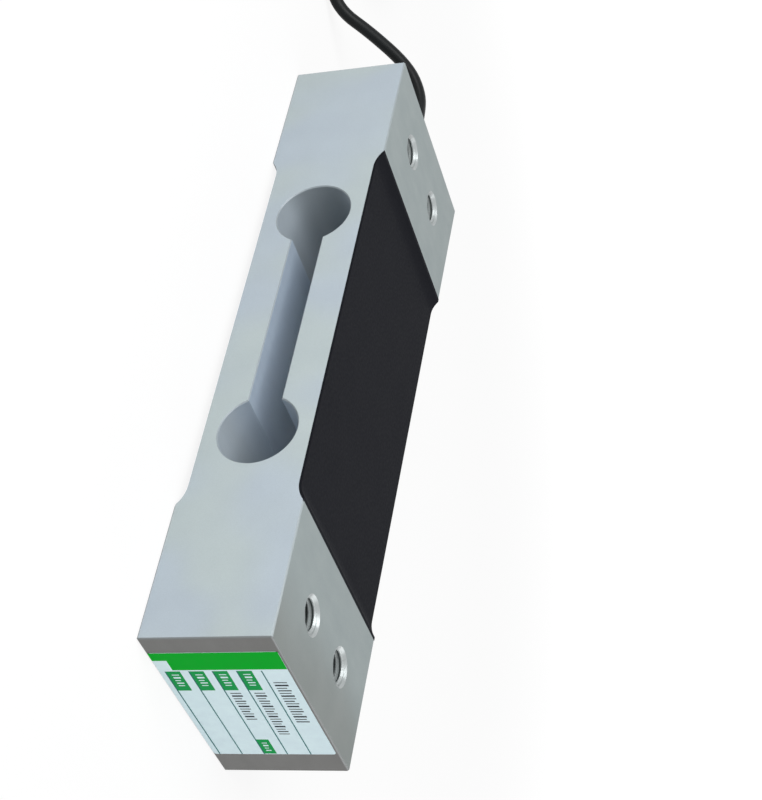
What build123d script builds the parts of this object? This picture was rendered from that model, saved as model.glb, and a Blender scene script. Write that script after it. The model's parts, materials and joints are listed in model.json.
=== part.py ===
from build123d import *

import os
from math import acos, cos, pi, radians, sin, sqrt, tan

# Single point load cell: a milled aluminium beam with a binocular cut-out, four foil gauges
# sealed in its shallow top and bottom recesses, and a thin four-core cable.
# Millimetres. Origin at the bottom centre of the beam, +X to the labelled load end,
# +Z to the top mounting face. The cable leaves the end at -X.

# Beam block
BEAM_LENGTH = 130.0
BEAM_WIDTH = 40.0
BEAM_HEIGHT = 22.0
EDGE_BREAK = 0.25

# Shallow recesses across the top and bottom, between the mounting pads
RECESS_LENGTH = 80.0
RECESS_DEPTH = 1.5
RECESS_END_RADIUS = 6.0
SEALANT_THICKNESS = 0.45
BOTTOM_SEALANT_MARGIN = 1.1

# Binocular cut-out through the width: two bores joined by a slot
BORE_RADIUS = 6.9
BORE_SPACING = 50.0
SLOT_HEIGHT = 5.8
CUTOUT_EDGE_BREAK = 0.2

# Tapped mounting holes through each pad, bored to the major radius of an M6 thread
HOLE_SPACING_X = 106.0
HOLE_SPACING_Y = 15.0
HOLE_RADIUS = 3.0
HOLE_MOUTH_RADIUS = 3.4

# Cable, its gallery in the fixed end and the potting round it
CABLE_RADIUS = 1.3
CABLE_DROP = 3.7
CABLE_HEIGHT = BEAM_HEIGHT - CABLE_DROP
CABLE_FIRST_RUN = 7.3
GALLERY_CLEARANCE = 0.2
SEAL_RADIUS = 2.5
SEAL_DEPTH = 3.0
SEAL_CONE_LENGTH = 1.2
SEAL_CONE_LIP = 0.25
SEAL_CONE_INSET = 0.2
JACKET_SETBACK = 2.0

# Wire pocket in the top recess and the hole that joins the two recesses
POCKET_LENGTH = 4.0
POCKET_WIDTH = 5.0
POCKET_FLOOR_DROP = 1.9
POCKET_CORNER_RADIUS = 1.0
CROSS_HOLE_RADIUS = 1.0
CROSS_HOLE_WALL = 1.8
CROSS_HOLE_Y = 6.0

# Foil strain gauges, one over and one under each bore
GAUGE_LENGTH = 8.0
GAUGE_WIDTH = 5.0
GAUGE_FILM = 0.08
FOIL_THICKNESS = 0.03
GRID_LEGS = 8
GRID_LEG_WIDTH = 0.22
GRID_SPACING = 0.44
GRID_LENGTH = 4.6
GRID_OFFSET = 0.9
TAB_LENGTH = 1.5
TAB_WIDTH = 1.4
TAB_INSET = 0.35

# Terminal boards and the resistors on the top one
BOARD_LENGTH = 12.0
BOARD_WIDTH = 13.0
BOARD_THICKNESS = 0.2
PAD_SIZE = 1.1
PAD_THICKNESS = 0.03
PAD_SPACING = 2.0
PADS_PER_COLUMN = 6
PAD_EDGE = 1.0
TRIM_RESISTOR = (2.0, 1.25, 0.13)
TRIM_RESISTOR_SPACING = 3.4

# Fine wires under the sealant
WIRE_RADIUS = 0.08
WIRE_HEIGHT = 0.33
WIRE_SIDES = 6
BEAD_RADIUS = 0.35
BEAD_SIDES = 6
BEAD_TOP = 0.42
WIRE_LANE_Y = 7.4
WIRE_LANE_SPACING = 0.6
CROSS_WIRES = 3
LEAD_SPACING = 0.55
LEAD_INNER_LANE = 0.8
LEAD_OUTER_LANE = 1.5
LEAD_STEP = 0.6
WIRE_BOW = 0.5

# Label on the load end
LABEL_WIDTH = 30.4
LABEL_HEIGHT = 21.2
LABEL_THICKNESS = 0.08
LABEL_CENTRE_Y = -0.9
LABEL_CENTRE_Z = 10.9
LABEL_CORNER_RADIUS = 0.6

# Free cable: hand-placed route from the end face down to the surface and into the coil
CABLE_ROUTE = [
    (-BEAM_LENGTH / 2, 0.0, CABLE_HEIGHT),
    (-BEAM_LENGTH / 2 - CABLE_FIRST_RUN, 0.0, CABLE_HEIGHT),
    (-79.8, -0.2, 17.2),
    (-86.8, -1.9, 13.7),
    (-92.4, -5.0, 8.2),
    (-96.4, -9.6, 2.9),
    (-102.2, -15.6, 1.3),
    (-109.4, -22.6, 1.4),
    (-116.9, -29.7, 1.7),
]
TAIL_ROUTE = [
    (-126.4, -34.4, 6.9),
    (-133.6, -35.2, 6.9),
    (-141.2, -33.0, 6.0),
    (-147.0, -27.6, 4.2),
    (-149.8, -20.4, 2.3),
    (-150.0, -12.8, 1.6),
    (-148.8, -5.4, 1.6),
]

# Coil of the put-away length, held by a small cable tie
COIL_CENTRE = (-129.0, -17.0)
COIL_MID_RADIUS = 15.0
COIL_TURNS_ACROSS = 3
COIL_LAYERS = 3
COIL_EDGE = 0.7
TIE_THICKNESS = 0.4
TIE_WIDTH = 2.5
TIE_ANGLE = 90.0
TIE_HEAD = (3.6, 3.2, 2.4)
TIE_STUB = (1.4, 2.0, 0.8)

# Stripped end of the cable
SLEEVE_LENGTH = 7.0
SLEEVE_WALL = 0.3
CORE_RADIUS = 0.45
CORE_TIP_RADIUS = 0.25
CORE_LENGTH = 10.0
CORE_TIP_LENGTH = 4.0
CORE_FAN = 9.0
CORE_SPACING = 0.62
CORE_RISE = 0.35
CORE_FIRST_RUN = 2.4
CORE_DROP_RUN = 3.6
CORE_SIDES = 8
CORE_NAMES = ["core_red", "core_black", "core_green", "core_white"]
SHIELD_RADIUS = 0.3

# Places worked out from the sizes above
half_length = BEAM_LENGTH / 2
half_width = BEAM_WIDTH / 2
mid_height = BEAM_HEIGHT / 2
floor_z = BEAM_HEIGHT - RECESS_DEPTH
arc_rise = RECESS_END_RADIUS - RECESS_DEPTH
arc_centre_x = RECESS_LENGTH / 2 - sqrt(RECESS_END_RADIUS**2 - arc_rise**2)
bore_x = BORE_SPACING / 2
pocket_end_x = -(bore_x + BORE_RADIUS)
pocket_start_x = pocket_end_x - POCKET_LENGTH
pocket_floor_z = CABLE_HEIGHT - POCKET_FLOOR_DROP
cross_hole_x = -(bore_x + BORE_RADIUS + CROSS_HOLE_WALL + CROSS_HOLE_RADIUS)
jacket_end_x = pocket_start_x - JACKET_SETBACK
cable_diameter = 2 * CABLE_RADIUS


def block(x_size, y_size, z_size, centre_x, centre_y, low_z):
    """A box given by its plan centre and its lowest height."""
    return Pos(centre_x, centre_y, low_z + z_size / 2) * Box(x_size, y_size, z_size)


def upright(radius, height, x, y, low_z):
    """A vertical cylinder given by its axis and its lowest height."""
    return Pos(x, y, low_z + height / 2) * Cylinder(radius, height)


def to_bottom(shape):
    """The same shape on the other face, mirrored about the beam's mid-height."""
    return mirror(shape, about=Plane.XY.offset(mid_height))


def recess_section(inset):
    """Side outline of the recess with arc ends, shrunk by a layer of the given thickness."""
    radius = RECESS_END_RADIUS - inset
    half_top = arc_centre_x + sqrt(radius**2 - arc_rise**2)
    low = floor_z + inset
    half_angle = acos(arc_rise / radius) / 2
    middle_x = arc_centre_x + radius * sin(half_angle)
    middle_z = floor_z + RECESS_END_RADIUS - radius * cos(half_angle)
    with BuildSketch(Plane.XZ) as section:
        with BuildLine():
            Line((-arc_centre_x, low), (arc_centre_x, low))
            ThreePointArc((arc_centre_x, low), (middle_x, middle_z), (half_top, BEAM_HEIGHT))
            Line((half_top, BEAM_HEIGHT), (-half_top, BEAM_HEIGHT))
            ThreePointArc((-half_top, BEAM_HEIGHT), (-middle_x, middle_z), (-arc_centre_x, low))
        make_face()
    return section.sketch


def across(section, width):
    """A side outline extruded to both sides of the beam's centre plane."""
    return extrude(section, amount=width / 2, both=True)


def wire_pocket(top):
    """The pocket over the gallery's inner end, with milled corners, up to the given height."""
    height = top - pocket_floor_z
    body = block(POCKET_LENGTH, POCKET_WIDTH, height, pocket_start_x + POCKET_LENGTH / 2, 0, pocket_floor_z)
    return fillet(body.edges().filter_by(Axis.Z), POCKET_CORNER_RADIUS)


def binocular_cutter():
    """Two bores joined by a slot, through the whole width."""
    with BuildSketch(Plane.XZ) as outline:
        with Locations((-bore_x, mid_height), (bore_x, mid_height)):
            Circle(BORE_RADIUS)
        with Locations((0, mid_height)):
            Rectangle(BORE_SPACING, SLOT_HEIGHT)
    return across(outline.sketch, 2 * BEAM_WIDTH)


def mounting_hole(x, y):
    """A through hole with a countersunk mouth on both pads."""
    sink = HOLE_MOUTH_RADIUS - HOLE_RADIUS
    hole = upright(HOLE_RADIUS, BEAM_HEIGHT, x, y, 0)
    mouth = Pos(x, y, BEAM_HEIGHT - sink / 2) * Cone(HOLE_RADIUS, HOLE_MOUTH_RADIUS, sink)
    return hole + mouth + to_bottom(mouth)


def along_x(radius, start_x, end_x, z):
    """A horizontal cylinder along the beam, in its centre plane."""
    length = end_x - start_x
    return Pos(start_x + length / 2, 0, z) * Rot(0, 90, 0) * Cylinder(radius, length)


def beam_body():
    """The milled and drilled sensing beam."""
    body = Pos(0, 0, mid_height) * Box(BEAM_LENGTH, BEAM_WIDTH, BEAM_HEIGHT)
    body = chamfer(body.edges(), EDGE_BREAK)
    recess = across(recess_section(0), 2 * BEAM_WIDTH)
    body = body - recess - to_bottom(recess)
    body -= binocular_cutter()
    for side in (0, -1):
        rim = body.faces().sort_by(Axis.Y)[side].inner_wires()[0]
        body = chamfer(rim.edges(), CUTOUT_EDGE_BREAK)
    for x in (-HOLE_SPACING_X / 2, HOLE_SPACING_X / 2):
        for y in (-HOLE_SPACING_Y / 2, HOLE_SPACING_Y / 2):
            body -= mounting_hole(x, y)
    gallery_end_x = pocket_start_x + POCKET_LENGTH / 2
    body -= along_x(CABLE_RADIUS + GALLERY_CLEARANCE, -half_length, gallery_end_x, CABLE_HEIGHT)
    body -= along_x(SEAL_RADIUS, -half_length, -half_length + SEAL_DEPTH, CABLE_HEIGHT)
    body -= wire_pocket(floor_z)
    body -= upright(CROSS_HOLE_RADIUS, BEAM_HEIGHT, cross_hole_x, CROSS_HOLE_Y, 0)
    return body


def gauge(centre_x, tab_side):
    """A foil gauge on its film, on the top recess floor, with its tabs towards the board."""
    film = block(GAUGE_LENGTH, GAUGE_WIDTH, GAUGE_FILM, centre_x, 0, floor_z)
    foil_z = floor_z + GAUGE_FILM
    grid_x = centre_x - tab_side * GRID_OFFSET
    first_y = -GRID_SPACING * (GRID_LEGS - 1) / 2
    body = film
    for leg in range(GRID_LEGS):
        leg_y = first_y + leg * GRID_SPACING
        body += block(GRID_LENGTH, GRID_LEG_WIDTH, FOIL_THICKNESS, grid_x, leg_y, foil_z)
        if leg < GRID_LEGS - 1:
            loop_side = -tab_side if leg % 2 == 0 else tab_side
            loop_x = grid_x + loop_side * (GRID_LENGTH - GRID_LEG_WIDTH) / 2
            loop_y = leg_y + GRID_SPACING / 2
            body += block(GRID_LEG_WIDTH, GRID_SPACING, FOIL_THICKNESS, loop_x, loop_y, foil_z)
    for x, y in gauge_tabs(centre_x, tab_side):
        body += block(TAB_LENGTH, TAB_WIDTH, FOIL_THICKNESS, x, y, foil_z)
        neck_y = first_y if y < 0 else -first_y
        neck_x = (x + grid_x + tab_side * GRID_LENGTH / 2) / 2
        neck_length = abs(x - grid_x) - GRID_LENGTH / 2 + GRID_LEG_WIDTH
        body += block(neck_length, GRID_LEG_WIDTH, FOIL_THICKNESS, neck_x, neck_y, foil_z)
    return body


def gauge_tabs(centre_x, tab_side):
    """The plan centres of a gauge's two solder tabs."""
    x = centre_x + tab_side * (GAUGE_LENGTH / 2 - TAB_INSET - TAB_LENGTH / 2)
    y = GRID_SPACING * (GRID_LEGS - 1) / 2 - TAB_WIDTH / 2 + GRID_LEG_WIDTH / 2
    return [(x, -y), (x, y)]


def board_columns():
    """The plan centres of the pads along the board's two short sides."""
    column_x = BOARD_LENGTH / 2 - PAD_EDGE
    first_y = -PAD_SPACING * (PADS_PER_COLUMN - 1) / 2
    ys = [first_y + i * PAD_SPACING for i in range(PADS_PER_COLUMN)]
    return [[(-column_x, y) for y in ys], [(column_x, y) for y in ys]]


def cross_pads():
    """The plan centres of the pads that the wires from the other face reach."""
    y = BOARD_WIDTH / 2 - PAD_EDGE
    return [((i - (CROSS_WIRES - 1) / 2) * PAD_SPACING, y) for i in range(CROSS_WIRES)]


def terminal_board():
    """A thin board with copper pads, on the top recess floor between the gauges."""
    body = block(BOARD_LENGTH, BOARD_WIDTH, BOARD_THICKNESS, 0, 0, floor_z)
    for x, y in sum(board_columns(), []) + cross_pads():
        body += block(PAD_SIZE, PAD_SIZE, PAD_THICKNESS, x, y, floor_z + BOARD_THICKNESS)
    return body


def trim_resistor(side):
    """A flat film resistor on the top board."""
    x_size, y_size, z_size = TRIM_RESISTOR
    low_z = floor_z + BOARD_THICKNESS
    return block(x_size, y_size, z_size, 0, side * TRIM_RESISTOR_SPACING / 2, low_z)


def route_radii(points):
    """The bend radius at each inner point: 0.45 of the shorter run over the tangent of half the turn."""
    radii = []
    for before, here, after in zip(points, points[1:], points[2:]):
        first = Vector(*here) - Vector(*before)
        second = Vector(*after) - Vector(*here)
        half_turn = radians(first.get_angle(second)) / 2
        radii.append(0.45 * min(first.length, second.length) / tan(half_turn))
    return radii


def tube(points, radius):
    """A round tube along straight runs joined by tangent arcs."""
    path = FilletPolyline(*points, radius=route_radii(points))
    start = Plane(origin=path @ 0, z_dir=path % 0)
    return sweep(start * Circle(radius), path=path)


def creased_wire(points, radius, sides):
    """A fine wire of polygon section, creased at each point as a wire is by tweezers."""
    path = Polyline(*points)
    start = Plane(origin=path @ 0, z_dir=path % 0)
    return sweep(start * RegularPolygon(radius, sides), path=path, transition=Transition.RIGHT)


def bead(x, y, low):
    """A solder bead from a tab or pad up round a wire's end."""
    outline = RegularPolygon(BEAD_RADIUS, BEAD_SIDES, rotation=180 / BEAD_SIDES)
    return Pos(x, y, floor_z + low) * extrude(outline, amount=BEAD_TOP - low)


def gauge_wires(centre_x, tab_side, pads):
    """Two fine wires from a gauge's tabs to the board's pads, with their solder beads."""
    wires = []
    z = floor_z + WIRE_HEIGHT
    for (tab_x, tab_y), (pad_x, pad_y) in zip(gauge_tabs(centre_x, tab_side), pads):
        middle_x = (tab_x + pad_x) / 2
        bow = WIRE_BOW if tab_y > 0 else -WIRE_BOW
        points = [(tab_x, tab_y, z), (middle_x, tab_y + bow, z), (pad_x, pad_y, z)]
        wire = creased_wire(points, WIRE_RADIUS, WIRE_SIDES)
        wire += bead(tab_x, tab_y, GAUGE_FILM + FOIL_THICKNESS)
        wire += bead(pad_x, pad_y, BOARD_THICKNESS + PAD_THICKNESS)
        wires.append(wire)
    return wires


def bridge_wires():
    """The wires between the gauges of one face and their board."""
    left, right = board_columns()
    middle = PADS_PER_COLUMN // 2
    return (gauge_wires(-bore_x, 1, left[middle - 1:middle + 1])
            + gauge_wires(bore_x, -1, right[middle - 1:middle + 1]))


def cross_wires():
    """The wires that run through the beam and join the two boards."""
    wires = []
    z = floor_z + WIRE_HEIGHT
    low_z = BEAM_HEIGHT - z
    for i, (pad_x, pad_y) in enumerate(cross_pads()):
        lane_y = WIRE_LANE_Y + i * WIRE_LANE_SPACING
        hole_x = cross_hole_x
        hole_y = CROSS_HOLE_Y + (i - (CROSS_WIRES - 1) / 2) * 4 * WIRE_RADIUS
        lane_end_x = hole_x + POCKET_LENGTH / 2 + (CROSS_WIRES - 1 - i) * WIRE_LANE_SPACING
        lane_start_x = pad_x - WIRE_BOW
        top = [(pad_x, pad_y, z), (lane_start_x, lane_y, z), (lane_end_x, lane_y, z), (hole_x, hole_y, z)]
        bottom = [(x, y, low_z) for x, y, _ in reversed(top)]
        wire = creased_wire(top + bottom, WIRE_RADIUS, WIRE_SIDES)
        low = BOARD_THICKNESS + PAD_THICKNESS
        wire = wire + bead(pad_x, pad_y, low) + to_bottom(bead(pad_x, pad_y, low))
        wires.append(wire)
    return wires


def inner_leads():
    """The four conductors from the jacket's inner end up through the pocket to the board."""
    leads = []
    z = floor_z + WIRE_HEIGHT
    pads = board_columns()[0]
    ends = [pads[0], pads[1], pads[-2], pads[-1]]
    side_y = GAUGE_WIDTH / 2
    outer = (0, len(ends) - 1)
    for i, (pad_x, pad_y) in enumerate(ends):
        start_y = (i - (len(ends) - 1) / 2) * LEAD_SPACING
        side = 1 if start_y > 0 else -1
        lane_y = side * (side_y + (LEAD_OUTER_LANE if i in outer else LEAD_INNER_LANE))
        rise_x = pocket_start_x + POCKET_LENGTH / 2
        points = [
            (jacket_end_x, start_y, CABLE_HEIGHT),
            (pocket_start_x + LEAD_STEP, start_y, CABLE_HEIGHT),
            (rise_x, 1.4 * start_y, z - LEAD_STEP),
            (pocket_end_x + LEAD_STEP, 2 * start_y, z),
            (-bore_x - GAUGE_LENGTH / 2, lane_y, z),
            (-bore_x + GAUGE_LENGTH / 2, lane_y + side * 2 * WIRE_RADIUS, z),
            (pad_x, pad_y, z),
        ]
        lead = creased_wire(points, WIRE_RADIUS, WIRE_SIDES)
        lead += bead(pad_x, pad_y, BOARD_THICKNESS + PAD_THICKNESS)
        leads.append(lead)
    return leads


def top_sealant_coat():
    """The sealing coat over the top recess floor and up its arc ends, and down into the wire pocket."""
    section = recess_section(0) - recess_section(SEALANT_THICKNESS)
    return across(section, BEAM_WIDTH) + wire_pocket(floor_z)


def bottom_sealant_coat():
    """The strip of sealing on the flat of the bottom recess, in its place before it is mirrored there."""
    width = BEAM_WIDTH - 2 * BOTTOM_SEALANT_MARGIN
    return block(2 * arc_centre_x, width, SEALANT_THICKNESS, 0, 0, floor_z)


def without(body, pieces):
    """A body with room cut for each piece that it surrounds."""
    for piece in pieces:
        body = body - piece
    return body


def cable_seal():
    """The potting round the cable in its counterbore, with a small cone outside."""
    mouth_x = -half_length
    with BuildSketch(Plane.XZ) as half:
        with BuildLine():
            Polyline(
                (mouth_x + SEAL_DEPTH, CABLE_RADIUS),
                (mouth_x + SEAL_DEPTH, SEAL_RADIUS),
                (mouth_x, SEAL_RADIUS),
                (mouth_x, SEAL_RADIUS - SEAL_CONE_INSET),
                (mouth_x - SEAL_CONE_LENGTH, CABLE_RADIUS + SEAL_CONE_LIP),
                (mouth_x - SEAL_CONE_LENGTH, CABLE_RADIUS),
                close=True,
            )
        make_face()
    return Pos(0, 0, CABLE_HEIGHT) * revolve(half.sketch, Axis.X)


def coil_ring():
    """The outer shape of the wound coil, lifted by the tie that it lies on."""
    width = COIL_TURNS_ACROSS * cable_diameter
    height = COIL_LAYERS * cable_diameter
    with BuildSketch(Plane.XZ) as section:
        with Locations((COIL_MID_RADIUS, TIE_THICKNESS + height / 2)):
            Rectangle(width, height)
        chamfer(section.vertices(), COIL_EDGE)
    return Pos(*COIL_CENTRE, 0) * revolve(section.sketch, Axis.Z)


def coil_tie(coil):
    """A small cable tie round the coil's turns: strap, head and trimmed stub."""
    across_turns = COIL_TURNS_ACROSS * cable_diameter + 2 * TIE_THICKNESS
    height = COIL_LAYERS * cable_diameter + 2 * TIE_THICKNESS
    with BuildSketch(Plane.XZ) as strap:
        with Locations((COIL_MID_RADIUS, height / 2)):
            Rectangle(across_turns, height)
        chamfer(strap.vertices(), COIL_EDGE + TIE_THICKNESS / 2)
    tie = across(strap.sketch, TIE_WIDTH)
    head_x, head_y, head_z = TIE_HEAD
    stub_x, stub_y, stub_z = TIE_STUB
    head_low = height - TIE_THICKNESS / 2
    tie += block(head_x, head_y, head_z, COIL_MID_RADIUS, 0, head_low)
    tie += block(stub_x, stub_y, stub_z, COIL_MID_RADIUS + (head_x + stub_x) / 2, 0, head_low + head_z / 2)
    return Pos(*COIL_CENTRE, 0) * Rot(0, 0, TIE_ANGLE) * tie - coil


def tail_direction():
    """The plan direction in which the cable's stripped end points."""
    before, end = TAIL_ROUTE[-2], TAIL_ROUTE[-1]
    return (Vector(*end) - Vector(*before)).normalized()


def end_sleeve():
    """The shrunk sleeve where the jacket stops."""
    direction = tail_direction()
    end = Vector(*TAIL_ROUTE[-1])
    radius = CABLE_RADIUS + SLEEVE_WALL
    place = Plane(origin=end - direction * SLEEVE_LENGTH / 2, z_dir=direction)
    outer = extrude(place * Circle(radius), amount=SLEEVE_LENGTH)
    jacket = extrude(place * Circle(CABLE_RADIUS), amount=SLEEVE_LENGTH / 2)
    return outer - jacket


def core(index, count, radius, tip_radius):
    """One stripped core: it leaves the sleeve, drops to the surface and fans out."""
    direction = tail_direction()
    aside = Vector(direction.Y, -direction.X, 0)
    start = Vector(*TAIL_ROUTE[-1]) + direction * SLEEVE_LENGTH / 2
    share = index - (count - 1) / 2
    spread = radians(CORE_FAN * share)
    heading = (direction * cos(spread) + aside * sin(spread)).normalized()
    heading = Vector(heading.X, heading.Y, 0).normalized()
    rise = CORE_RISE if index % 2 == 0 else -CORE_RISE
    leave = start + aside * share * CORE_SPACING + Vector(0, 0, rise)
    ahead = leave + direction * CORE_FIRST_RUN
    down = ahead + heading * CORE_DROP_RUN
    down = Vector(down.X, down.Y, radius)
    end = down + heading * (CORE_LENGTH - CORE_FIRST_RUN - CORE_DROP_RUN)
    tip_end = end + heading * CORE_TIP_LENGTH
    sheath = creased_wire([tuple(p) for p in (leave, ahead, down, end)], radius, CORE_SIDES)
    tip_start = Plane(origin=end, z_dir=heading)
    tip = extrude(tip_start * RegularPolygon(tip_radius, CORE_SIDES), amount=(tip_end - end).length)
    return sheath + tip


def label():
    """The thin label on the load end."""
    plane = Plane(origin=(half_length, LABEL_CENTRE_Y, LABEL_CENTRE_Z), x_dir=(0, 1, 0), z_dir=(1, 0, 0))
    return extrude(plane * RectangleRounded(LABEL_WIDTH, LABEL_HEIGHT, LABEL_CORNER_RADIUS),
                   amount=LABEL_THICKNESS)


def save(name, shape):
    """Write one sub-part."""
    solids = shape if isinstance(shape, list) else [shape]
    pieces = [solid for item in solids for solid in item.solids()]
    export_step(pieces[0] if len(pieces) == 1 else Compound(children=pieces), f"parts/{name}.step")


os.makedirs("parts", exist_ok=True)

gauges = [gauge(-bore_x, 1), gauge(bore_x, -1)]
board = terminal_board()
resistors = [trim_resistor(-1), trim_resistor(1)]
wires = bridge_wires()
crossing = cross_wires()
leads = inner_leads()
top_pieces = gauges + [board] + resistors + wires + crossing + leads
bottom_pieces = gauges + [board] + wires + crossing

coil = coil_ring()
run = tube(CABLE_ROUTE, CABLE_RADIUS)
tail = tube(TAIL_ROUTE, CABLE_RADIUS)
print("route radii", [round(r, 1) for r in route_radii(CABLE_ROUTE) + route_radii(TAIL_ROUTE)])
for title, piece, points in (("run", run, CABLE_ROUTE), ("tail", tail, TAIL_ROUTE)):
    length = FilletPolyline(*points, radius=route_radii(points)).length
    print(title, "length", round(length, 1), "volume", round(piece.volume, 2),
          "section times length", round(pi * CABLE_RADIUS**2 * length, 2))

save("beam_body", beam_body())
save("top_sealant", without(top_sealant_coat(), top_pieces))
save("bottom_sealant", to_bottom(without(bottom_sealant_coat(), bottom_pieces)))
for name, piece in zip(("cable_end", "load_end"), gauges):
    save(f"gauge_top_{name}", piece)
    save(f"gauge_bottom_{name}", to_bottom(piece))
save("terminal_board_top", board)
save("terminal_board_bottom", to_bottom(board))
save("zero_trim_resistor", resistors[0])
save("span_trim_resistor", resistors[1])
save("bridge_wires_top", wires)
save("bridge_wires_bottom", [to_bottom(wire) for wire in wires])
save("cross_wires", crossing)
save("inner_leads", leads)
save("cable_in_gallery", along_x(CABLE_RADIUS, -half_length, jacket_end_x, CABLE_HEIGHT))
save("cable_seal", cable_seal())
save("cable_run", run - coil)
save("cable_coil", coil)
save("cable_tail", tail - coil)
save("coil_tie", coil_tie(coil))
save("end_sleeve", end_sleeve())
for i, name in enumerate(CORE_NAMES):
    save(name, core(i, len(CORE_NAMES) + 1, CORE_RADIUS, CORE_TIP_RADIUS))
save("shield_wire", core(len(CORE_NAMES), len(CORE_NAMES) + 1, SHIELD_RADIUS, SHIELD_RADIUS * 0.8))
save("label", label())
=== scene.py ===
import json
import math

import bmesh
import bpy
from mathutils import Matrix, Vector


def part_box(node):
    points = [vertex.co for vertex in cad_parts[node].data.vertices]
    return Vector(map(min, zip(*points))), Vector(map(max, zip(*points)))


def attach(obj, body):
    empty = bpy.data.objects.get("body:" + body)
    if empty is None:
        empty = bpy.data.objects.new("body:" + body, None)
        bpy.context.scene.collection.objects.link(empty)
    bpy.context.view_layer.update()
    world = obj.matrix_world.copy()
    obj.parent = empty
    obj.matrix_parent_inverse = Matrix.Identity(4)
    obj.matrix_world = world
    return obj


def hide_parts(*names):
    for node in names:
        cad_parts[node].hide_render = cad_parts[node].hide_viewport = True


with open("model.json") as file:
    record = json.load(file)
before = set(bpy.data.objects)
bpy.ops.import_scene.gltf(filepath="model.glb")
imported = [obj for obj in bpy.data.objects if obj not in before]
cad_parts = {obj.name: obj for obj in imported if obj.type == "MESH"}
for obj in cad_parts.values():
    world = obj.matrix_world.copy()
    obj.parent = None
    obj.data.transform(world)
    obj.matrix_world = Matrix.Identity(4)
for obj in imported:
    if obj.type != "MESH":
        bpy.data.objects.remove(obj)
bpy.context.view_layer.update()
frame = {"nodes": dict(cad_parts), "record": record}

# Single point load cell: a milled aluminium beam with a binocular cut-out, black sealed
# recesses, tapped holes, an end label and a thin black cable. Metres, in the frame's own axes.

MM = 0.001
BODY = "root"

# Beam and hole places, read from the frame and the record
beam_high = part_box("beam_body")[1]
mounts = {mount["name"]: mount for mount in frame["record"]["mounts"]}
load_bolts = mounts["load_end_bolts"]
HOLE_X = load_bolts["pos_m"][0]
HOLE_Y = load_bolts["dims"]["spacing_y_mm"] * MM / 2
HOLE_RADIUS = load_bolts["dims"]["hole_r_mm"] * MM
BEAM_TOP = beam_high[2]
BEAM_HALF_LENGTH = beam_high[0]
BEAM_HALF_WIDTH = beam_high[1]
BEAM_MIDDLE = BEAM_TOP / 2

# M6 thread left in the tapped holes, and the countersink that cuts back its first turn
THREAD_PITCH = 1.0 * MM
THREAD_DEPTH = 0.5 * MM
THREAD_CREST = 0.16 * MM
THREAD_ROOT = 0.8 * MM
THREAD_STEPS_PER_TURN = 36
THREAD_SEAT = 0.01 * MM
MOUTH_RADIUS = 3.4 * MM
WELD = 0.001 * MM

# How deep each skin of the beam's finish lies under its face: where it is whole, where it ends
FACE_SKIN = (0.06 * MM, 0.14 * MM)
EDGE_SKIN = (0.2 * MM, 0.3 * MM)
SIDE_SKIN = (0.005 * MM, 0.02 * MM)
CUTOUT_EDGE_SKIN = (0.18 * MM, 0.21 * MM)
COUNTERSINK_SKIN = (0.5 * MM, 0.7 * MM)

# Bands over which one finish of the beam gives way to the next; the far bore wall's and the load end's
# bands bring in painted shade, the slot's inner bands painted light
MOUTH_RIM = (MOUTH_RADIUS - 0.01 * MM, MOUTH_RADIUS + 0.04 * MM)
CUTOUT_HALF_LENGTH = (36 * MM, 38 * MM)
CUTOUT_HALF_HEIGHT = (7.5 * MM, 7.9 * MM)
SLOT_TO_BORE = (18 * MM, 23 * MM)
SLOT_INNER_LENGTH = (13 * MM, 18 * MM)
SLOT_INNER_WIDTH = (8 * MM, 16 * MM)
FAR_BORE_SHADE_BAND = (-31.8 * MM, -28 * MM)
LOAD_END_SHADE_BAND = (52 * MM, 68 * MM)
LOAD_END_WANDER = 8 * MM

# The beam's noises: their sizes, the haze's drawn direction, and the drift that turns it warmer
CLOUD_SIZE = 7 * MM
DRIFT_SIZE = 17 * MM
HAZE_SIZE = 2.2 * MM
HAZE_STRETCH = (1, 0.35, 1)
GRAIN_SIZE = 0.12 * MM
WARM_DRIFT = (0.35, 0.65)

# The beam's tones, each a darker and a lighter one that a noise mixes, or a single one
BLASTED_COOL = ((0.392, 0.452, 0.508), (0.444, 0.512, 0.562))
BLASTED_WARM = ((0.404, 0.466, 0.482), (0.456, 0.522, 0.526))
# The pads' and ends' tones are partly their milled and sawn finish and partly painted shade of the top and
# the end faces
MILLED_AND_SHADED = ((0.230, 0.272, 0.277), (0.268, 0.311, 0.312))
# Painted shade: the pads darker towards the load end
PAD_PAINTED_SHADE_AT_LOAD_END = (0.182, 0.204, 0.198)
SAWN_AND_SHADED = ((0.141, 0.141, 0.137), (0.173, 0.173, 0.168))
BORED = ((0.370, 0.422, 0.464), (0.420, 0.474, 0.514))
# Painted shade: a darker tone on the far wall of the far bore
FAR_BORE_PAINTED_SHADE = (0.265, 0.302, 0.328)
SLOTTED = ((0.372, 0.446, 0.534), (0.424, 0.502, 0.588))
# Painted light: a lighter tone deep inside the slot
SLOT_PAINTED_LIGHT = (0.51, 0.59, 0.66)
# Painted shade: darker tones on the broken edges of the cut-out, the sides and the ends, that dim the
# highlight the lamps put on them
CUTOUT_EDGE_PAINTED_SHADE = (0.28, 0.32, 0.345)
SIDE_EDGE_PAINTED_SHADE = (0.29, 0.33, 0.345)
END_EDGE_PAINTED_SHADE = (0.165, 0.175, 0.175)
# Painted shade: a dark tone on the tapped holes' walls below the countersink
HOLE_WALL_PAINTED_SHADE = (0.13, 0.150, 0.150)
COUNTERSINK = ((0.34, 0.368, 0.370), (0.43, 0.460, 0.462))
EDGE_SHADE_SHARE = 0.85
SPECKLE = (0.965, 1.03)

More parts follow.
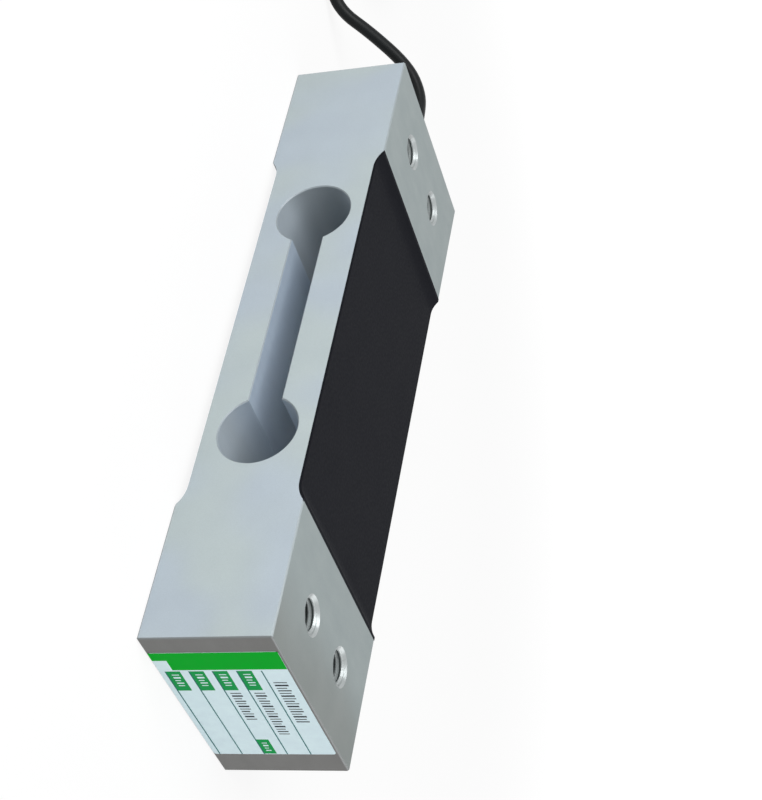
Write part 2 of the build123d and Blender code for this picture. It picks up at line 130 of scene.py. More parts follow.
# How metallic the beam is where it is coated and bare, how rough, and how much smoother where cut
COATED_METAL = 0.12
BARE_METAL = 0.62
BEAM_ROUGHNESS = (0.42, 0.50)
CUT_SMOOTHER = 0.14

# The threads' flanks, and their ends where the countersink cut them
THREAD_TONES = ((0.22, 0.245, 0.245), (0.34, 0.37, 0.37))
THREAD_METAL = 0.25
THREAD_CUT_TONES = ((0.34, 0.368, 0.370), (0.46, 0.490, 0.492))
THREAD_CUT_SLOT = 1
THREAD_ROUGHNESS = (0.26, 0.38)

# The black sealing compound and the cable jacket
SEALANT_TONES = ((0.0084, 0.0090, 0.0118), (0.0106, 0.0112, 0.0140))
SEALANT_ROUGHNESS = (0.64, 0.76)
JACKET_TONES = ((0.0036, 0.0048, 0.0052), (0.0078, 0.0096, 0.0104))
JACKET_ROUGHNESS = (0.30, 0.44)

# Cable: its way down to the surface, in millimetres, and out of the coil to its end
CABLE_RADIUS = 1.3 * MM
CABLE_ROUTE = [
    (-65.0, 0.0, 18.3),
    (-72.3, 0.0, 18.3),
    (-77.7, -1.5, 18.2),
    (-82.7, -5.0, 15.7),
    (-87.5, -11.0, 8.4),
    (-90.1, -15.2, 2.8),
    (-94.2, -19.8, 1.0),
    (-99.9, -24.2, 1.9),
    (-108.8, -27.0, 1.7),
]
TAIL_ROUTE = [
    (-138.4, -34.6, 6.9),
    (-144.2, -31.4, 6.0),
    (-148.3, -25.6, 4.0),
    (-150.0, -19.0, 2.2),
    (-150.0, -12.8, 1.6),
    (-148.8, -5.4, 1.6),
]

# Coil of the put-away length: each turn's winding cell is (column, layer), angles in degrees
COIL_CENTRE = (-129.0 * MM, -17.0 * MM)
COIL_LIFT = 0.4 * MM
COIL_MID_RADIUS = 15.0 * MM
COIL_START_ANGLE = -46.4
COIL_END_ANGLE = -98.0
COIL_CHANGE_ANGLE = 70.0
COIL_STAGGER_ANGLE = 30.0
COIL_POINT_ANGLE = 15.0
FULL_TURN = 360.0
POINT_WEIGHT = 0.75
COIL_CELLS = [(1, 0), (0, 0), (-1, 0), (-1, 1), (-1, 2), (0, 2), (0, 1), (1, 1), (1, 2)]

# Label fields in millimetres on the end face: (y0, y1, z0, z1), or a place or size along Y or Z
INK_THICKNESS = 0.012 * MM
LABEL_CORNER = 0.5 * MM
HEADER = (-16.1, -11.3, 0.3, 21.5)
NOTCH_START = -14.0
NOTCH_TOP = 2.7
ROW_START = -10.95
ROW_END = 14.25
ROW_LINES = [1.3, 5.25, 9.15, 13.15, 17.2]
ROW_LINE_WIDTH = 0.2
TAB_END = -5.4
TAB_HEIGHT = 2.45
UNIT_TAB = (9.6, 14.1, 0.1, 2.2)
UNIT_ROW = 2

# Rows of plain bars: start and end along Y, bottom and top above the row's line
TAB_BARS = (ROW_START + 0.9, TAB_END - 0.6, 0.75, 1.95)
UNIT_BARS = (10.6, 13.2, 0.7, 1.6)
VALUE_BARS = [
    (3, (-4.6, 8.4, 0.7, 2.5)),
    (2, (-4.6, 3.8, 0.7, 2.5)),
    (4, (-7.6, 4.6, 0.8, 3.0)),
]
BAR_WIDTHS = [0.22, 0.42, 0.22, 0.30]
BAR_DROPS = [0.0, 0.0, 0.22, 0.0, 0.12]
BAR_GAP = 0.48

# The label's material slots, in order, with their colours
FILM, HEADER_GREEN, TAB_GREEN, RULE, INK = range(5)
LABEL_COLOURS = [
    ("label_film", (0.75, 0.91, 0.98)),
    ("label_green", (0.001, 0.405, 0.024)),
    ("label_tab_green", (0.012, 0.33, 0.080)),
    ("label_rule", (0.02, 0.15, 0.15)),
    ("label_ink", (0.03, 0.035, 0.045)),
]

# The values that a noise mostly takes, and the grain's wider span
NOISE_SPAN = (0.3, 0.7)
GRAIN_SPAN = (0.25, 0.75)

# Plain finishes: shades and roughness of their clouds, and how much finer their surface is
CLOUD_SHADES = (0.92, 1.06)
CLOUD_ROUGHNESS = 0.05
FINER = 8

# Plain pieces: their nodes, then the finish's name, colour, roughness, cloud size and metal
WIRES = ["shield_wire", "bridge_wires_top", "bridge_wires_bottom", "cross_wires", "inner_leads"]
BOARDS = ["terminal_board_top", "terminal_board_bottom"]
RESISTORS = ["zero_trim_resistor", "span_trim_resistor"]
GAUGES = [f"gauge_{face}_{end}" for face in ("top", "bottom") for end in ("cable_end", "load_end")]
PLAIN_PIECES = [
    (["cable_seal"], "potting", (0.022, 0.022, 0.023), 0.5, 0.8 * MM, 0.0),
    (["coil_tie"], "tie_nylon", (0.02, 0.02, 0.021), 0.4, 1.0 * MM, 0.0),
    (["end_sleeve"], "shrink_sleeve", (0.018, 0.018, 0.018), 0.5, 0.8 * MM, 0.0),
    (["core_red"], "core_red", (0.50, 0.02, 0.02), 0.4, 0.8 * MM, 0.0),
    (["core_black"], "core_black", (0.02, 0.02, 0.02), 0.4, 0.8 * MM, 0.0),
    (["core_green"], "core_green", (0.02, 0.30, 0.06), 0.4, 0.8 * MM, 0.0),
    (["core_white"], "core_white", (0.72, 0.72, 0.70), 0.4, 0.8 * MM, 0.0),
    (WIRES, "tinned_copper", (0.62, 0.60, 0.56), 0.3, 0.3 * MM, 0.9),
    (BOARDS, "board_laminate", (0.05, 0.22, 0.10), 0.4, 1.0 * MM, 0.0),
    (RESISTORS, "resistor", (0.03, 0.03, 0.03), 0.35, 0.3 * MM, 0.0),
    (GAUGES, "gauge_film", (0.45, 0.27, 0.08), 0.35, 0.8 * MM, 0.0),
]

# Camera, fitted to the body's corners in the photograph
CAMERA_PLACE = Vector((0.20003, -0.22681, 0.12013))
CAMERA_AIM = Vector((-0.00256, 0.00637, 0.02002))
CAMERA_ROLL = 86.67
CAMERA_LENS = 80.88

# Studio: surround and floor, then each lamp's name, place, target, side and power
WORLD_STRENGTH = 0.26
FLOOR_COLOUR = (0.5, 0.5, 0.5)
FLOOR_HALF_SIZE = 3.0
FLOOR_GLOW = 0.78
FLOOR_GLOW_STRENGTH = 1.12
FLOOR_NEAR = 0.14
FLOOR_FAR = 0.40
LAMPS = [
    ("key", (0.012, -0.264, 0.255), (0.012, 0, 0.01), 0.34, 1.5),
    ("end_fill", (0.93, 0.12, 0.25), (0.05, 0, 0.01), 0.36, 2.7),
    ("back_fill", (0.20, 0.46, 0.30), (0, 0, 0.01), 0.36, 0.6),
]


def mesh_object(name, bm, materials):
    """A new object from a bmesh, with its material slots."""
    mesh = bpy.data.meshes.new(name)
    bm.to_mesh(mesh)
    bm.free()
    piece = bpy.data.objects.new(name, mesh)
    bpy.context.scene.collection.objects.link(piece)
    for material in materials:
        mesh.materials.append(material)
    return piece


class Finish:
    """A node material with the few helpers that the finishes share."""

    def __init__(self, name, colour, roughness, metallic=0.0, shine=0.5):
        self.material = bpy.data.materials.new(name)
        self.material.use_nodes = True
        self.nodes = self.material.node_tree.nodes
        self.links = self.material.node_tree.links
        self.shader = self.nodes["Principled BSDF"]
        self.shader.inputs["Base Color"].default_value = (*colour, 1)
        self.shader.inputs["Roughness"].default_value = roughness
        self.shader.inputs["Metallic"].default_value = metallic
        self.shader.inputs["Specular IOR Level"].default_value = shine
        self.place = self.nodes.new("ShaderNodeTexCoord").outputs["Object"]

    def join(self, output, node, socket):
        """Link an output to a node's socket."""
        self.links.new(output, node.inputs[socket])

    def noise(self, size, detail=2.0, stretch=(1, 1, 1)):
        """Noise whose features are about the given size in metres, drawn out where stretch is small."""
        mapping = self.nodes.new("ShaderNodeMapping")
        mapping.inputs["Scale"].default_value = stretch
        self.join(self.place, mapping, "Vector")
        node = self.nodes.new("ShaderNodeTexNoise")
        node.inputs["Scale"].default_value = 1 / size
        node.inputs["Detail"].default_value = detail
        self.join(mapping.outputs["Vector"], node, "Vector")
        return node.outputs["Fac"]

    def ramp(self, value, low, high, start=0.0, end=1.0):
        """A value carried smoothly from one range to another."""
        node = self.nodes.new("ShaderNodeMapRange")
        node.interpolation_type = "SMOOTHSTEP"
        node.inputs["From Min"].default_value = low
        node.inputs["From Max"].default_value = high
        node.inputs["To Min"].default_value = start
        node.inputs["To Max"].default_value = end
        self.join(value, node, "Value")
        return node.outputs["Result"]

    def spread(self, noise, start, end):
        """The values that a noise mostly takes, carried to a range."""
        return self.ramp(noise, *NOISE_SPAN, start, end)

    def near(self, value, limit, skin):
        """One close to a limit, and nothing once deeper than the skin."""
        return self.ramp(value, limit - skin[1], limit - skin[0])

    def within(self, value, band):
        """One below a band of values, and nothing past it."""
        return self.ramp(value, *band, 1.0, 0.0)

    def mix(self, share, first, second):
        """Two colours, or sockets, mixed by a share."""
        node = self.nodes.new("ShaderNodeMix")
        node.data_type = "RGBA"
        self.join(share, node, "Factor")
        for value, socket in ((first, node.inputs[6]), (second, node.inputs[7])):
            if isinstance(value, tuple):
                socket.default_value = (*value, 1)
            else:
                self.links.new(value, socket)
        return node.outputs[2]

    def math(self, operation, first, second=None):
        """One math node on sockets or numbers."""
        node = self.nodes.new("ShaderNodeMath")
        node.operation = operation
        for value, socket in ((first, node.inputs[0]), (second, node.inputs[1])):
            if value is None:
                continue
            if isinstance(value, (int, float)):
                socket.default_value = value
            else:
                self.links.new(value, socket)
        return node.outputs[0]

    def both(self, first, second):
        """The part that two shares have in common."""
        return self.math("MULTIPLY", first, second)

    def either(self, first, second):
        """The larger of two shares."""
        return self.math("MAXIMUM", first, second)

    def axes(self):
        """The object's X, Y and Z as three sockets."""
        node = self.nodes.new("ShaderNodeSeparateXYZ")
        self.join(self.place, node, "Vector")
        return node.outputs["X"], node.outputs["Y"], node.outputs["Z"]

    def length(self, first, second):
        """The length of a two-part offset."""
        squares = self.math("ADD", self.math("POWER", first, 2.0), self.math("POWER", second, 2.0))
        return self.math("SQRT", squares)

    def scaled(self, colour, factor):
        """A colour made lighter or darker by a factor."""
        node = self.nodes.new("ShaderNodeVectorMath")
        node.operation = "SCALE"
        self.join(colour, node, 0)
        self.join(factor, node, "Scale")
        return node.outputs[0]

    def bump(self, height, distance, strength=1.0, below=None):
        """A bump of the given height, over another one if there is one."""
        node = self.nodes.new("ShaderNodeBump")
        node.inputs["Distance"].default_value = distance
        node.inputs["Strength"].default_value = strength
        self.join(height, node, "Height")
        if below is not None:
            self.join(below, node, "Normal")
        return node.outputs["Normal"]

    def set(self, **sockets):
        """Join outputs to the shader's named sockets."""
        for name, output in sockets.items():
            self.join(output, self.shader, name.replace("_", " "))
        return self.material


def cutout_colour(finish, haze, x, along, aside, on_cutout_edge):
    """The walls of the binocular cut-out: two bores, the slot between them and their broken edge, with
    painted shade on the far bore's wall and on the broken edge, and painted light deep in the slot.
    """
    # The far bore's wall takes painted shade
    bore_tones_and_shade = finish.mix(finish.ramp(x, *FAR_BORE_SHADE_BAND), FAR_BORE_PAINTED_SHADE, finish.mix(haze, *BORED))
    # Painted light deep inside the slot, away from its mouths
    deep_slot_share = finish.both(finish.within(aside, SLOT_INNER_WIDTH), finish.within(along, SLOT_INNER_LENGTH))
    slot_tones_and_light = finish.mix(deep_slot_share, finish.mix(haze, *SLOTTED), SLOT_PAINTED_LIGHT)
    walls = finish.mix(finish.ramp(along, *SLOT_TO_BORE), slot_tones_and_light, bore_tones_and_shade)
    # The cut-out's broken edge takes painted shade
    return finish.mix(on_cutout_edge, walls, CUTOUT_EDGE_PAINTED_SHADE)


def beam_finish():
    """Blasted sides, milled pads, sawn ends, the cut-out's walls, broken edges and bare hole mouths; the
    pads and ends also carry painted shade of the top and the end, and the broken edges, the tapped holes'
    walls and the pads at the load end carry painted shade.
    """
    finish = Finish("beam_aluminium", (0.50, 0.56, 0.59), 0.46, COATED_METAL, shine=0.35)
    cloud = finish.noise(CLOUD_SIZE, detail=3.0)
    drift = finish.noise(DRIFT_SIZE, detail=1.0)
    haze = finish.noise(HAZE_SIZE, stretch=HAZE_STRETCH)
    grain = finish.noise(GRAIN_SIZE, detail=1.0)

    x, y, z = finish.axes()
    along = finish.math("ABSOLUTE", x)
    aside = finish.math("ABSOLUTE", y)
    upright = finish.math("ABSOLUTE", finish.math("SUBTRACT", z, BEAM_MIDDLE))
    hole_along = finish.math("SUBTRACT", along, HOLE_X)
    hole_aside = finish.math("SUBTRACT", aside, HOLE_Y)
    from_hole = finish.length(hole_along, hole_aside)

    in_hole = finish.within(from_hole, MOUTH_RIM)
    at_mouth = finish.near(upright, BEAM_MIDDLE, COUNTERSINK_SKIN)
    on_pad = finish.near(upright, BEAM_MIDDLE, FACE_SKIN)
    on_end = finish.near(along, BEAM_HALF_LENGTH, FACE_SKIN)
    by_pad = finish.near(upright, BEAM_MIDDLE, EDGE_SKIN)
    by_end = finish.near(along, BEAM_HALF_LENGTH, EDGE_SKIN)
    by_side = finish.near(aside, BEAM_HALF_WIDTH, EDGE_SKIN)
    on_side_edge = finish.both(by_side, by_pad)
    on_end_edge = finish.both(by_end, finish.either(by_side, by_pad))
    under_side = finish.math("SUBTRACT", 1.0, finish.near(aside, BEAM_HALF_WIDTH, SIDE_SKIN))
    cutout_length = finish.within(along, CUTOUT_HALF_LENGTH)
    cutout_height = finish.within(upright, CUTOUT_HALF_HEIGHT)
    in_cutout = finish.both(under_side, finish.both(cutout_length, cutout_height))
    on_cutout_edge = finish.both(in_cutout, finish.near(aside, BEAM_HALF_WIDTH, CUTOUT_EDGE_SKIN))

    cool = finish.mix(cloud, *BLASTED_COOL)
    warm = finish.mix(cloud, *BLASTED_WARM)
    colour = finish.mix(finish.ramp(drift, *WARM_DRIFT), cool, warm)
    walls = cutout_colour(finish, haze, x, along, aside, on_cutout_edge)
    colour = finish.mix(in_cutout, colour, walls)
    # The pads go darker towards the load end, over a wandering band: painted shade
    toward_load = finish.math("ADD", x, finish.math("MULTIPLY", drift, LOAD_END_WANDER))
    milled = finish.mix(haze, *MILLED_AND_SHADED)
    milled = finish.mix(finish.ramp(toward_load, *LOAD_END_SHADE_BAND), milled, PAD_PAINTED_SHADE_AT_LOAD_END)
    # Pads and ends take their milled and sawn tones, which also hold painted shade of the top and the end
    # faces
    colour = finish.mix(on_pad, colour, milled)
    colour = finish.mix(on_end, colour, finish.mix(haze, *SAWN_AND_SHADED))
    # Painted shade on the broken edges of the sides and ends
    colour = finish.mix(finish.math("MULTIPLY", on_side_edge, EDGE_SHADE_SHARE), colour, SIDE_EDGE_PAINTED_SHADE)
    colour = finish.mix(finish.math("MULTIPLY", on_end_edge, EDGE_SHADE_SHARE), colour, END_EDGE_PAINTED_SHADE)
    # Below the countersink the hole's wall takes painted shade
    hole = finish.mix(at_mouth, HOLE_WALL_PAINTED_SHADE, finish.mix(haze, *COUNTERSINK))
    colour = finish.mix(in_hole, colour, hole)

    cut = finish.either(in_hole, finish.either(on_side_edge, on_end_edge))
    smoother = finish.math("MULTIPLY", cut, CUT_SMOOTHER)
    fine_relief = finish.bump(grain, 0.006 * MM, strength=0.35)
    return finish.set(
        Base_Color=finish.scaled(colour, finish.ramp(grain, *GRAIN_SPAN, *SPECKLE)),
        Roughness=finish.math("SUBTRACT", finish.spread(cloud, *BEAM_ROUGHNESS), smoother),
        Metallic=finish.ramp(in_hole, 0.0, 1.0, COATED_METAL, BARE_METAL),
        Normal=finish.bump(haze, 0.01 * MM, strength=0.25, below=fine_relief),
    )


def thread_finish(name, dark, light, metallic):
    """Cut aluminium with fine tool marks round the hole."""
    finish = Finish(name, light, 0.3, metallic, shine=0.3)
    marks = finish.noise(0.35 * MM, stretch=(1, 1, 3))
    return finish.set(
        Base_Color=finish.mix(marks, dark, light),
        Roughness=finish.spread(marks, *THREAD_ROUGHNESS),
        Normal=finish.bump(marks, 0.01 * MM, strength=0.4),
    )


def sealant_finish():
    """Matte black sealing compound with a slight skin texture."""
    finish = Finish("black_sealant", (0.011, 0.0115, 0.015), 0.7, shine=0.03)
    skin = finish.noise(0.5 * MM)
    swell = finish.noise(6 * MM, detail=1.0)
    fine_relief = finish.bump(skin, 0.015 * MM, strength=0.35)
    return finish.set(
        Base_Color=finish.mix(swell, *SEALANT_TONES),
        Roughness=finish.spread(skin, *SEALANT_ROUGHNESS),
        Normal=finish.bump(swell, 0.06 * MM, strength=0.25, below=fine_relief),
    )


def jacket_finish():
    """Satin black cable jacket with a faint drawn texture."""
    finish = Finish("cable_jacket", (0.008, 0.010, 0.0105), 0.42, shine=0.15)
    grain = finish.noise(0.25 * MM)
    scuff = finish.noise(4 * MM, detail=3.0)
    return finish.set(
        Base_Color=finish.mix(scuff, *JACKET_TONES),
        Roughness=finish.spread(scuff, *JACKET_ROUGHNESS),
        Normal=finish.bump(grain, 0.012 * MM, strength=0.4),
    )


def plain_finish(name, colour, roughness, size, metallic=0.0, depth=0.01 * MM, shine=0.3):
    """A moulded or coated finish: slight cloudiness and a fine surface."""
    finish = Finish(name, colour, roughness, metallic, shine)
    cloud = finish.noise(size, detail=3.0)
    fine = finish.noise(size / FINER)
    dark = tuple(part * CLOUD_SHADES[0] for part in colour)
    light = tuple(min(1.0, part * CLOUD_SHADES[1]) for part in colour)
    return finish.set(
        Base_Color=finish.mix(cloud, dark, light),
        Roughness=finish.spread(cloud, roughness - CLOUD_ROUGHNESS, roughness + CLOUD_ROUGHNESS),
        Normal=finish.bump(fine, depth, strength=0.3),
    )


def print_finish(name, colour):
    """Ink or film of the label: satin, almost flat."""
    return plain_finish(name, colour, 0.45, 2.0 * MM, depth=0.003 * MM, shine=0.03)


def plate(bm, field, low_x, thickness, slot):
    """A thin flat plate on the end face: field is (y0, y1, z0, z1) in millimetres."""
    y0, y1, z0, z1 = (value * MM for value in field)
    place = Matrix.Translation((low_x + thickness / 2, (y0 + y1) / 2, (z0 + z1) / 2))
    size = Matrix.Diagonal((thickness, y1 - y0, z1 - z0, 1))
    made = bmesh.ops.create_cube(bm, size=1.0, matrix=place @ size)
    for face in {face for vert in made["verts"] for face in vert.link_faces}:
        face.material_index = slot
    return made["verts"]


def bar_row(bm, line, bars, base_x, slot):
    """A row of plain short bars above a row's line, where a printed value would stand."""
    start, end, low, high = bars
    left = start
    i = 0
    while left + BAR_WIDTHS[i % len(BAR_WIDTHS)] <= end:
        width = BAR_WIDTHS[i % len(BAR_WIDTHS)]
        top = high - BAR_DROPS[i % len(BAR_DROPS)] * (high - low)
        plate(bm, (left, left + width, line + low, line + top), base_x, INK_THICKNESS, slot)
        left += width + BAR_GAP
        i += 1


def build_label():
    """The film label with its printed fields, in place of the plain node."""
    low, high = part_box("label")
    film_top = high[0] - 1.5 * INK_THICKNESS
    ink_top = film_top + INK_THICKNESS / 2
    bm = bmesh.new()
    outline = (low[1] / MM, high[1] / MM, low[2] / MM, high[2] / MM)
    verts = plate(bm, outline, low[0], film_top - low[0], FILM)
    edges = {edge for vert in verts for edge in vert.link_edges}
    corners = [edge for edge in edges if abs(edge.verts[0].co.x - edge.verts[1].co.x) > 0.02 * MM]
    bmesh.ops.bevel(bm, geom=corners, offset=LABEL_CORNER, offset_type="OFFSET", segments=4,
                    profile=0.5, affect="EDGES", material=-1)

    # Header with its notch, then ruled rows with their tabs, then the bars
    y0, y1, z0, z1 = HEADER
    plate(bm, (y0, y1, NOTCH_TOP, z1), film_top, INK_THICKNESS, HEADER_GREEN)
    plate(bm, (y0, NOTCH_START, z0, NOTCH_TOP), film_top, INK_THICKNESS, HEADER_GREEN)
    half = ROW_LINE_WIDTH / 2
    for line in ROW_LINES:
        plate(bm, (ROW_START, ROW_END, line - half, line + half), film_top, INK_THICKNESS, RULE)
    for line in ROW_LINES[:-1]:
        plate(bm, (ROW_START, TAB_END, line + half, line + TAB_HEIGHT), film_top, INK_THICKNESS, TAB_GREEN)
        bar_row(bm, line, TAB_BARS, ink_top, FILM)
    unit_line = ROW_LINES[UNIT_ROW]
    unit_start, unit_end, unit_low, unit_high = UNIT_TAB
    unit_field = (unit_start, unit_end, unit_line + unit_low, unit_line + unit_high)
    plate(bm, unit_field, film_top, INK_THICKNESS, TAB_GREEN)
    bar_row(bm, unit_line, UNIT_BARS, ink_top, FILM)
    for row, bars in VALUE_BARS:
        bar_row(bm, ROW_LINES[row], bars, film_top, INK)

    piece = mesh_object("label_print", bm, [print_finish(*colour) for colour in LABEL_COLOURS])
    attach(piece, BODY)
    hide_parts("label")


def cut_back(vert, centre):
    """Moves a thread vertex out to the countersink's cone where the cone has cut it."""
    mouth_depth = MOUTH_RADIUS - HOLE_RADIUS
    depth = min(vert.co.z, BEAM_TOP - vert.co.z)
    offset = Vector((vert.co.x - centre.x, vert.co.y - centre.y, 0))
    radius = max(offset.length, min(HOLE_RADIUS - THREAD_SEAT, MOUTH_RADIUS - depth))
    height = min(max(vert.co.z, mouth_depth), BEAM_TOP - mouth_depth)
    cut = radius > offset.length + THREAD_SEAT
    vert.co = centre + offset.normalized() * radius + Vector((0, 0, height))
    return cut


def build_threads(materials):
    """The thread's helical ridge in each tapped hole, cut back by the countersinks at both ends."""
    wall = HOLE_RADIUS - THREAD_SEAT
    crest = wall - THREAD_DEPTH
    middle = (wall + crest) / 2
    flank = (THREAD_ROOT - THREAD_CREST) / 2
    mouth_depth = MOUTH_RADIUS - HOLE_RADIUS
    low = mouth_depth - THREAD_ROOT
    turns = (BEAM_TOP - 2 * mouth_depth + THREAD_ROOT) / THREAD_PITCH
    steps = int(turns * THREAD_STEPS_PER_TURN)
    profile = [
        (wall, 0),
        (middle, flank / 2),
        (crest, flank),
        (crest, flank + THREAD_CREST),
        (middle, THREAD_ROOT - flank / 2),
        (wall, THREAD_ROOT),
    ]
    bm = bmesh.new()
    for side_x in (-1, 1):
        for side_y in (-1, 1):
            before = set(bm.verts)
            centre = Vector((side_x * HOLE_X, side_y * HOLE_Y, 0))
            verts = [bm.verts.new(centre + Vector((radius, 0, low + height))) for radius, height in profile]
            face = bm.faces.new(verts)
            bmesh.ops.spin(bm, geom=[face, *face.edges, *face.verts], cent=centre, axis=(0, 0, 1),
                           dvec=(0, 0, turns * THREAD_PITCH / steps), angle=turns * math.tau,
                           steps=steps, use_duplicate=False)
            cut = {vert for vert in set(bm.verts) - before if cut_back(vert, centre)}
            for face in {face for vert in cut for face in vert.link_faces}:
                if sum(vert in cut for vert in face.verts) > 2:
                    face.material_index = THREAD_CUT_SLOT
    bmesh.ops.remove_doubles(bm, verts=bm.verts, dist=WELD)
    bmesh.ops.dissolve_degenerate(bm, dist=WELD, edges=bm.edges)
    bmesh.ops.recalc_face_normals(bm, faces=bm.faces)
    piece = mesh_object("hole_threads", bm, materials)
    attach(piece, BODY)


def coil_points():
    """The cable's points round the coil, easing from one winding cell to the next, in metres."""
    total = FULL_TURN * (len(COIL_CELLS) - 1) + (COIL_START_ANGLE - COIL_END_ANGLE)
    # The control points lie a little outside the curve that they make
    neighbours = (1 - POINT_WEIGHT) * math.cos(math.radians(COIL_POINT_ANGLE))
    swell = 1 / (POINT_WEIGHT + neighbours)
    points = []
    count = int(total / COIL_POINT_ANGLE)
    for i in range(count + 1):
        travel = i * total / count
        column, layer = COIL_CELLS[0]
        begin = FULL_TURN - COIL_CHANGE_ANGLE
        for last, cell in zip(COIL_CELLS, COIL_CELLS[1:]):
            share = min(max((travel - begin) / COIL_CHANGE_ANGLE, 0.0), 1.0)
            eased = share * share * (3 - 2 * share)
            column += (cell[0] - last[0]) * eased
            layer += (cell[1] - last[1]) * eased
            begin += FULL_TURN - COIL_STAGGER_ANGLE
        radius = (COIL_MID_RADIUS + column * 2 * CABLE_RADIUS) * swell
        angle = math.radians(COIL_START_ANGLE - travel)
        points.append((
            COIL_CENTRE[0] + radius * math.cos(angle),
            COIL_CENTRE[1] + radius * math.sin(angle),
            COIL_LIFT + CABLE_RADIUS * (1 + 2 * layer),
        ))
    return points


def build_cable(material):
    """The free cable as one smooth line: down to the surface, round the coil and out to its end."""
    route = [tuple(part * MM for part in point) for point in CABLE_ROUTE]
    tail = [tuple(part * MM for part in point) for point in TAIL_ROUTE]
    points = route + coil_points() + tail
    curve = bpy.data.curves.new("cable", "CURVE")
    curve.dimensions = "3D"
    curve.bevel_depth = CABLE_RADIUS
    curve.bevel_resolution = 5
    curve.resolution_u = 6
    curve.use_fill_caps = True
    spline = curve.splines.new("NURBS")
    spline.points.add(len(points) - 1)
    for point, place in zip(spline.points, points):
        point.co = (*place, 1)
    spline.order_u = 3
    spline.use_endpoint_u = True
    cable = bpy.data.objects.new("cable", curve)
    bpy.context.scene.collection.objects.link(cable)
    curve.materials.append(material)
    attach(cable, BODY)
    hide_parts("cable_run", "cable_coil", "cable_tail")
    return cable


def dress(names, material):
    """Gives a finish to CAD nodes that show as they are."""
    for name in names:
        for slot in frame["nodes"][name].material_slots:
            slot.material = material


def white_for_eye(tree):
    """A share that is one for camera, glossy and transmission rays."""
    rays = tree.nodes.new("ShaderNodeLightPath")
    seen = rays.outputs["Is Camera Ray"]
    for name in ("Is Glossy Ray", "Is Transmission Ray"):
        add = tree.nodes.new("ShaderNodeMath")
        add.operation = "MAXIMUM"
        tree.links.new(seen, add.inputs[0])
        tree.links.new(rays.outputs[name], add.inputs[1])
        seen = add.outputs[0]
    return seen


def build_world():
    """A white surround for the eye and a soft even light on the object."""
    world = bpy.data.worlds.new("studio")
    bpy.context.scene.world = world
    world.use_nodes = True
    tree = world.node_tree
    back = tree.nodes["Background"]
    back.inputs["Color"].default_value = (1, 1, 1, 1)
    share = tree.nodes.new("ShaderNodeMapRange")
    share.inputs["To Min"].default_value = WORLD_STRENGTH
    share.inputs["To Max"].default_value = 1.0
    tree.links.new(white_for_eye(tree), share.inputs["Value"])
    tree.links.new(share.outputs["Result"], back.inputs["Strength"])


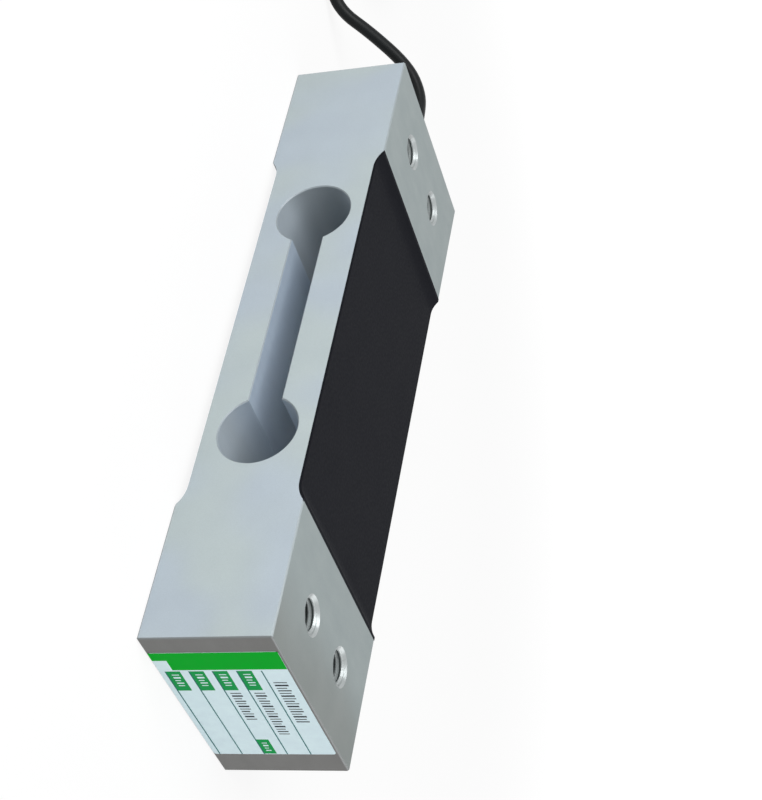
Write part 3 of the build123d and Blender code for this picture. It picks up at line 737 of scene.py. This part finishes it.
def build_floor():
    """A pale floor that keeps a soft shadow near the object and is white farther out."""
    bm = bmesh.new()
    bmesh.ops.create_grid(bm, x_segments=1, y_segments=1, size=FLOOR_HALF_SIZE)
    material = bpy.data.materials.new("floor_white")
    material.use_nodes = True
    tree = material.node_tree
    output = tree.nodes["Material Output"]
    matte = tree.nodes["Principled BSDF"]
    matte.inputs["Base Color"].default_value = (*FLOOR_COLOUR, 1)
    matte.inputs["Roughness"].default_value = 0.9
    glow = tree.nodes.new("ShaderNodeEmission")
    glow.inputs["Color"].default_value = (1, 1, 1, 1)
    glow.inputs["Strength"].default_value = FLOOR_GLOW_STRENGTH
    away = tree.nodes.new("ShaderNodeVectorMath")
    away.operation = "LENGTH"
    tree.links.new(tree.nodes.new("ShaderNodeTexCoord").outputs["Object"], away.inputs[0])
    spread = tree.nodes.new("ShaderNodeMapRange")
    spread.interpolation_type = "SMOOTHSTEP"
    spread.inputs["From Min"].default_value = FLOOR_NEAR
    spread.inputs["From Max"].default_value = FLOOR_FAR
    spread.inputs["To Min"].default_value = FLOOR_GLOW
    spread.inputs["To Max"].default_value = 1.0
    tree.links.new(away.outputs["Value"], spread.inputs["Value"])
    share = tree.nodes.new("ShaderNodeMath")
    share.operation = "MULTIPLY"
    tree.links.new(white_for_eye(tree), share.inputs[0])
    tree.links.new(spread.outputs["Result"], share.inputs[1])
    blend = tree.nodes.new("ShaderNodeMixShader")
    tree.links.new(share.outputs[0], blend.inputs[0])
    tree.links.new(matte.outputs[0], blend.inputs[1])
    tree.links.new(glow.outputs[0], blend.inputs[2])
    tree.links.new(blend.outputs[0], output.inputs["Surface"])
    floor = mesh_object("floor", bm, [material])


def area_light(name, place, target, side, power):
    """A soft square lamp pointed at a target."""
    lamp = bpy.data.lights.new(name, "AREA")
    lamp.shape = "SQUARE"
    lamp.size = side
    lamp.energy = power
    holder = bpy.data.objects.new(name, lamp)
    bpy.context.scene.collection.objects.link(holder)
    holder.location = place
    holder.rotation_euler = (Vector(target) - Vector(place)).to_track_quat("-Z", "Y").to_euler()


def build_camera():
    """The photograph's viewpoint: from the load end, above the side, turned on its side."""
    lens = bpy.data.cameras.new("camera")
    lens.lens = CAMERA_LENS
    lens.clip_start = 0.01
    camera = bpy.data.objects.new("camera", lens)
    bpy.context.scene.collection.objects.link(camera)
    aim = (CAMERA_AIM - CAMERA_PLACE).to_track_quat("-Z", "Y").to_matrix().to_4x4()
    roll = Matrix.Rotation(math.radians(CAMERA_ROLL), 4, "Z")
    camera.matrix_world = Matrix.Translation(CAMERA_PLACE) @ aim @ roll
    bpy.context.scene.camera = camera


def build_studio():
    """Floor, surround, lamps and camera."""
    build_world()
    build_floor()
    for lamp in LAMPS:
        area_light(*lamp)
    bpy.context.scene.view_settings.view_transform = "Standard"
    build_camera()


# Finishes of the CAD nodes that show as they are
jacket = jacket_finish()
dress(["beam_body"], beam_finish())
dress(["top_sealant", "bottom_sealant"], sealant_finish())
dress(["cable_in_gallery"], jacket)
for nodes, *values in PLAIN_PIECES:
    dress(nodes, plain_finish(*values))

# Pieces made here
build_label()
build_threads([
    thread_finish("cut_thread", *THREAD_TONES, THREAD_METAL),
    thread_finish("cut_mouth", *THREAD_CUT_TONES, BARE_METAL),
])
cable = build_cable(jacket)
build_studio()
